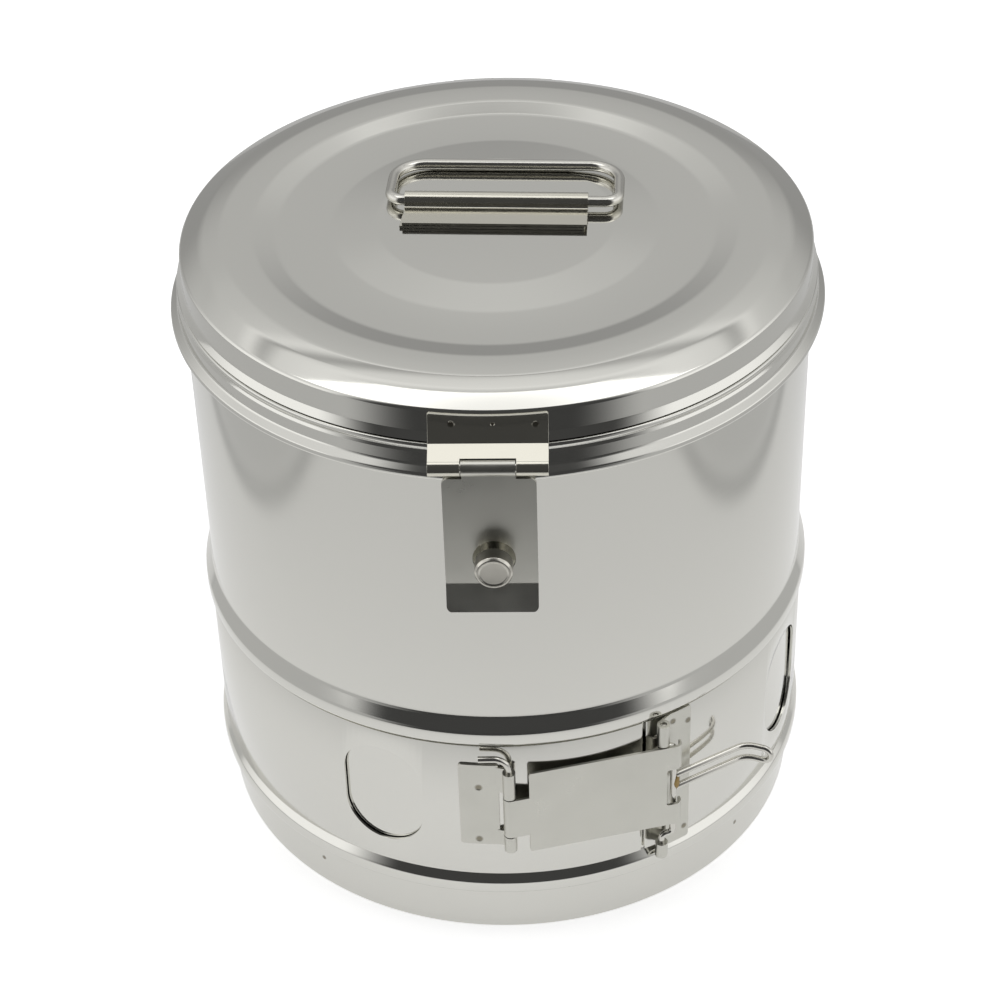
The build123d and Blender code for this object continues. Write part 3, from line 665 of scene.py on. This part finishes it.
def make_clip():
    """One strip folded round the handle wire; its two legs lie on each other in front, slightly askew."""
    start = radians(TUNNEL_START)
    section = round_corners([(CLIP_LEG, CLIP_TOP, 0), (CLIP_RADIUS, CLIP_TOP, CLIP_FOLD_BEND),
                             (CLIP_RADIUS * cos(start), CLIP_RADIUS * sin(start), 0)])
    for k in range(1, TUNNEL_STEPS + 1):
        a = start + (1.5 * pi - start) * k / TUNNEL_STEPS
        section.append(Vector((CLIP_RADIUS * cos(a), CLIP_RADIUS * sin(a))))
    section.append(Vector((CLIP_LEG, -CLIP_RADIUS)))
    path = [(-CLIP_LENGTH / 2, -p.x, p.y + HANDLE_AXIS_Z) for p in section]
    clip = drawn_sheet("handle_strip", path, (CLIP_LENGTH, 0, 0), CLIP_SHEET, (0, -0.2, 1))
    for vertex in clip.data.vertices:
        leg = -vertex.co.y / MM
        if leg > 0.3 and vertex.co.z < (CLIP_LEG_Z + CLIP_SHEET + 0.1) * MM:
            vertex.co.x -= CLIP_FOLD_SHIFT * MM
    clip.matrix_world = handle_place_m()
    ease_edges(clip, "sheared_edges", SHEARED_EDGE, 40)
    smooth(clip)
    flatten_shading(clip)
    dress(clip, polished_strip, "lid", "handle_clip")


def handle_place_m():
    place = handle_place()
    place.translation *= MM
    return place


# ------------------------------------------------------------------ stud, pins and lever
def make_stud():
    place = Matrix(((1, 0, 0, STUD_X * MM),
                    (0, 0, -1, -BODY_RADIUS * MM),
                    (0, 1, 0, STUD_Z * MM),
                    (0, 0, 0, 1)))
    stud = turned_part("latch_stud_turned", STUD_SECTION, place)
    dress(stud, turned_steel, "drum", "latch_stud")


def make_clamp_wires():
    x, y = LEFT_AXIS
    a = radians(LEFT_AXIS_AZIMUTH)
    hook = (x - LEFT_PIN_HOOK * cos(a), y - LEFT_PIN_HOOK * sin(a), LEFT_PIN_TOP_Z)
    path = [(x, y, LEFT_PIN_BOTTOM_Z), (x, y, LEFT_PIN_TOP_Z), hook]
    pin = wire_piece("hooked_pin", path, [PIN_BEND], WIRE)
    dress(pin, bright_wire, "vent_band", "clamp_left_pin")
    (x, y), (u, v) = RIGHT_AXIS, CRANK_BAR
    bottom, low, high, top = CRANK_HEIGHTS
    path = [(x, y, bottom), (x, y, low), (u, v, low), (u, v, high), (x, y, high), (x, y, top)]
    crank = wire_piece("crank", path, [CRANK_BEND] * 4, WIRE)
    dress(crank, bright_wire, "clamp_lever", "crank_wire")
    out = Vector((cos(radians(LEVER_ANGLE)), sin(radians(LEVER_ANGLE)), 0))
    tip_angle = radians(LEVER_ANGLE - LEVER_TIP_ANGLE)
    tip = Vector((cos(tip_angle), sin(tip_angle), 0))
    root = Vector((u, v, LEVER_MID_Z)) + out * (WIRE - 0.3)
    knee = Vector((u, v, LEVER_MID_Z)) + out * LEVER_LENGTH
    nose = knee + tip * (LEVER_TIP_LENGTH + LEVER_SPREAD)
    rise = Vector((0, 0, LEVER_SPREAD))
    path = [root + rise, knee + rise, nose + rise, nose - rise, knee - rise, root - rise]
    lever = wire_piece("lever_hairpin", path, [LEVER_BEND, LEVER_SPREAD, LEVER_SPREAD, LEVER_BEND], WIRE)
    dress(lever, bright_wire, "clamp_lever", "lever_handle")
    tidy_selection()
    bpy.ops.mesh.primitive_uv_sphere_add(segments=32, ring_count=20, radius=1.0)
    bead = name_piece("lever_weld_bead")
    shape = Matrix.Diagonal((*(half * MM for half in LEVER_WELD), 1))
    bead.matrix_world = Matrix.Translation(root * MM) @ shape
    apply_all(bead)
    ripple = bpy.data.textures.new("weld_ripple", "CLOUDS")
    ripple.noise_scale = WELD_RIPPLE_SIZE * MM
    lumps = bead.modifiers.new("weld_ripple", "DISPLACE")
    lumps.texture = ripple
    lumps.strength = WELD_RIPPLE_DEPTH * MM
    apply_all(bead)
    smooth(bead)
    dress(bead, weld_metal, "clamp_lever")


# ------------------------------------------------------------------ sheet fittings
def make_fittings():
    fittings = [
        ("hasp_plate", "hasp_strap", "hasp", satin_sheet),
        ("clamp_plate", "clamp_link_plate", "clamp_link", satin_sheet),
        ("clamp_left_bracket", "left_pin_bracket", "vent_band", satin_sheet),
        ("clamp_right_bracket", "right_crank_bracket", "vent_band", satin_sheet),
        ("front_hinge_leaf", "latch_hinge_leaf", "lid", polished_strip),
        ("rear_hinge_lid_leaf", "back_hinge_lid_leaf", "lid", polished_strip),
        ("rear_hinge_body_leaf", "back_hinge_wall_leaf", "drum", satin_sheet),
    ]
    for node, name, body, material in fittings:
        dress(eased_copy(node, name), material, body, node)


def dress_nodes():
    for name in ("front_hinge_pin", "rear_hinge_pin", "stud_washer"):
        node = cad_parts[name]
        for place in node.material_slots:
            place.link = "OBJECT"
            place.material = bright_wire


# ------------------------------------------------------------------ studio
def set_stops(ramp, stops):
    ramp.interpolation = "EASE"
    for k, (at, tone) in enumerate(stops):
        element = ramp.elements[k] if k < 2 else ramp.elements.new(at)
        element.position = at
        element.color = (tone, tone, tone, 1)


def paper_floor():
    """White paper sweep of a light tent with an open front. The polished steel mirrors it, so the paper's
    rounded edge, a painted pool of light round the drum, painted shade along its fold, the tent walls'
    painted glow and the dark room in front of it are drawn here, in metres from the drum."""
    tidy_selection()
    bpy.ops.mesh.primitive_plane_add(size=8)
    floor = name_piece("floor")
    material, tree = new_material("white_paper")
    spot = add_node(tree, "ShaderNodeTexCoord").outputs["Object"]
    folded = add_node(tree, "ShaderNodeVectorMath", {0: spot}, operation="ABSOLUTE").outputs["Vector"]
    over = add_node(tree, "ShaderNodeVectorMath", {0: folded, 1: TENT_CORNER}, operation="SUBTRACT")
    past = add_node(tree, "ShaderNodeVectorMath", {0: over.outputs["Vector"], 1: (0, 0, 0)},
                    operation="MAXIMUM")
    round_off = add_node(tree, "ShaderNodeVectorMath", {0: past.outputs["Vector"]}, operation="LENGTH")
    edge = add_node(tree, "ShaderNodeMath", {0: round_off.outputs["Value"], 1: TENT_CORNER_RADIUS},
                    operation="SUBTRACT").outputs[0]
    reach = add_node(tree, "ShaderNodeVectorMath", {0: spot}, operation="LENGTH").outputs["Value"]
    way = add_node(tree, "ShaderNodeVectorMath", {0: spot}, operation="NORMALIZE").outputs["Vector"]
    frontness = add_node(tree, "ShaderNodeVectorMath", {0: way, 1: (0, -1, 0)}, operation="DOT_PRODUCT")
    front = add_node(tree, "ShaderNodeMapRange",
                     {"Value": frontness.outputs["Value"], "From Min": ROOM_TO_FRONT[0],
                      "From Max": ROOM_TO_FRONT[1]}, interpolation_type="SMOOTHSTEP")
    outside = add_node(tree, "ShaderNodeMapRange",
                       {"Value": edge, "From Min": PAPER_EDGE[0], "From Max": PAPER_EDGE[1]},
                       interpolation_type="SMOOTHSTEP")
    # painted pool of light round the drum
    inner = add_node(tree, "ShaderNodeMapRange",
                     {"Value": reach, "From Min": PAPER_NEAR_AT, "From Max": PAPER_FAR_AT,
                      "To Min": PAPER_NEAR, "To Max": PAPER_FAR}, interpolation_type="SMOOTHSTEP")
    # painted glow of the tent walls at the sides, and the dark room in front
    beyond = add_node(tree, "ShaderNodeMix", {0: front.outputs["Result"], 2: SIDE_WALL, 3: DARK_ROOM})
    tone = add_node(tree, "ShaderNodeMix", {0: outside.outputs["Result"], 2: inner.outputs["Result"],
                                            3: beyond.outputs[0]}).outputs[0]
    # painted shade along the fold: the paper is darker close to its edge
    close = add_node(tree, "ShaderNodeMath", {0: edge}, operation="ABSOLUTE").outputs[0]
    fold_shade = add_node(tree, "ShaderNodeMapRange",
                    {"Value": close, "From Min": 0.0, "From Max": FOLD_SHADE_WIDTH,
                     "To Min": 1 - FOLD_SHADE_DEPTH, "To Max": 1.0}, interpolation_type="SMOOTHSTEP")
    fold_shade = add_node(tree, "ShaderNodeMix", {0: front.outputs["Result"], 2: fold_shade.outputs["Result"], 3: 1.0})
    tone = add_node(tree, "ShaderNodeMath", {0: tone, 1: fold_shade.outputs[0]}, operation="MULTIPLY").outputs[0]
    # painted glow of the paper, seen only in the steel
    lit = add_node(tree, "ShaderNodeMath", {0: tone, 1: MIRRORED_GLOW}, operation="MULTIPLY").outputs[0]
    glow = add_node(tree, "ShaderNodeEmission", {"Strength": lit})
    shade = add_node(tree, "ShaderNodeMath", {0: tone, 1: MIRRORED_SHADE}, operation="MULTIPLY").outputs[0]
    mirrored = add_node(tree, "ShaderNodeBsdfDiffuse", {"Color": shade})
    in_metal = add_node(tree, "ShaderNodeAddShader", {0: glow.outputs[0], 1: mirrored.outputs[0]})
    paper = add_node(tree, "ShaderNodeBsdfDiffuse", {"Color": linear("#f2f2f2")})
    white = add_node(tree, "ShaderNodeEmission", {"Strength": PAPER_GLOW})
    in_view = add_node(tree, "ShaderNodeAddShader", {0: paper.outputs[0], 1: white.outputs[0]})
    path = add_node(tree, "ShaderNodeLightPath")
    to_camera = add_node(tree, "ShaderNodeMixShader", {0: path.outputs["Is Camera Ray"], 1: paper.outputs[0],
                                                       2: in_view.outputs[0]})
    mirror_ray = add_node(tree, "ShaderNodeMath",
                          {0: path.outputs["Is Glossy Ray"], 1: path.outputs["Is Transmission Ray"]},
                          operation="MAXIMUM").outputs[0]
    to_metal = add_node(tree, "ShaderNodeMixShader",
                        {0: mirror_ray, 1: to_camera.outputs[0], 2: in_metal.outputs[0]})
    add_node(tree, "ShaderNodeOutputMaterial", {"Surface": to_metal.outputs[0]})
    floor.data.materials.append(material)


def light_tent():
    """Fabric walls lit from both sides and from behind above; the front, where the camera stands, is dark."""
    world = bpy.data.worlds.new("light_tent")
    bpy.context.scene.world = world
    world.use_nodes = True
    tree = world.node_tree
    tree.nodes.clear()
    way = add_node(tree, "ShaderNodeTexCoord").outputs["Generated"]
    height = add_node(tree, "ShaderNodeSeparateXYZ", {"Vector": way}).outputs["Z"]
    flat = add_node(tree, "ShaderNodeVectorMath", {0: way, 1: (1, 1, 0)}, operation="MULTIPLY")
    level = add_node(tree, "ShaderNodeVectorMath", {0: flat.outputs["Vector"]}, operation="NORMALIZE")
    frontness = add_node(tree, "ShaderNodeVectorMath", {0: level.outputs["Vector"], 1: (0, -1, 0)},
                         operation="DOT_PRODUCT").outputs["Value"]
    tones = []
    for stops in (BACK_TONES, SIDE_TONES, FRONT_TONES):
        ramp = add_node(tree, "ShaderNodeValToRGB", {"Fac": height})
        set_stops(ramp.color_ramp, stops)
        tones.append(ramp.outputs["Color"])
    tone = tones[0]
    for (least, most), next_tone in zip((BACK_TO_SIDE, SIDE_TO_FRONT), tones[1:]):
        turned = add_node(tree, "ShaderNodeMapRange",
                          {"Value": frontness, "From Min": least, "From Max": most},
                          interpolation_type="SMOOTHSTEP")
        tone = add_node(tree, "ShaderNodeMix",
                        {0: turned.outputs["Result"], 2: tone, 3: next_tone}).outputs[0]
    tent = add_node(tree, "ShaderNodeBackground", {"Color": tone})
    clean = add_node(tree, "ShaderNodeBackground", {"Color": (1, 1, 1, 1)})
    path = add_node(tree, "ShaderNodeLightPath")
    mix = add_node(tree, "ShaderNodeMixShader", {0: path.outputs["Is Camera Ray"], 1: tent.outputs[0],
                                                 2: clean.outputs[0]})
    add_node(tree, "ShaderNodeOutputWorld", {"Surface": mix.outputs[0]})


def overhead_softbox():
    tidy_selection()
    bpy.ops.object.light_add(type="AREA", location=LAMP_AT)
    lamp = bpy.context.object
    lamp.name = "overhead_softbox"
    lamp.data.shape = "RECTANGLE"
    lamp.data.size, lamp.data.size_y = LAMP_SIZE
    lamp.data.energy = LAMP_POWER


def camera():
    forward = Vector(CAMERA_FORWARD).normalized()
    right = forward.cross(Vector((0, 0, 1))).normalized()
    up = right.cross(forward)
    turn = Matrix.Rotation(radians(CAMERA_ROLL), 3, forward)
    right, up = turn @ right, turn @ up
    bpy.ops.object.camera_add()
    view = bpy.context.object
    view.matrix_world = Matrix((
        (right.x, up.x, -forward.x, CAMERA_AT[0] * MM),
        (right.y, up.y, -forward.y, CAMERA_AT[1] * MM),
        (right.z, up.z, -forward.z, CAMERA_AT[2] * MM),
        (0, 0, 0, 1)))
    view.data.sensor_width = SENSOR
    view.data.lens = CAMERA_LENS
    view.data.clip_start = 0.05
    bpy.context.scene.camera = view


camera()
make_body()
make_band()
make_plain_shells()
make_handle()
make_clip()
make_stud()
make_clamp_wires()
make_fittings()
dress_nodes()
paper_floor()
light_tent()
overhead_softbox()
bpy.context.scene.view_settings.view_transform = "Standard"
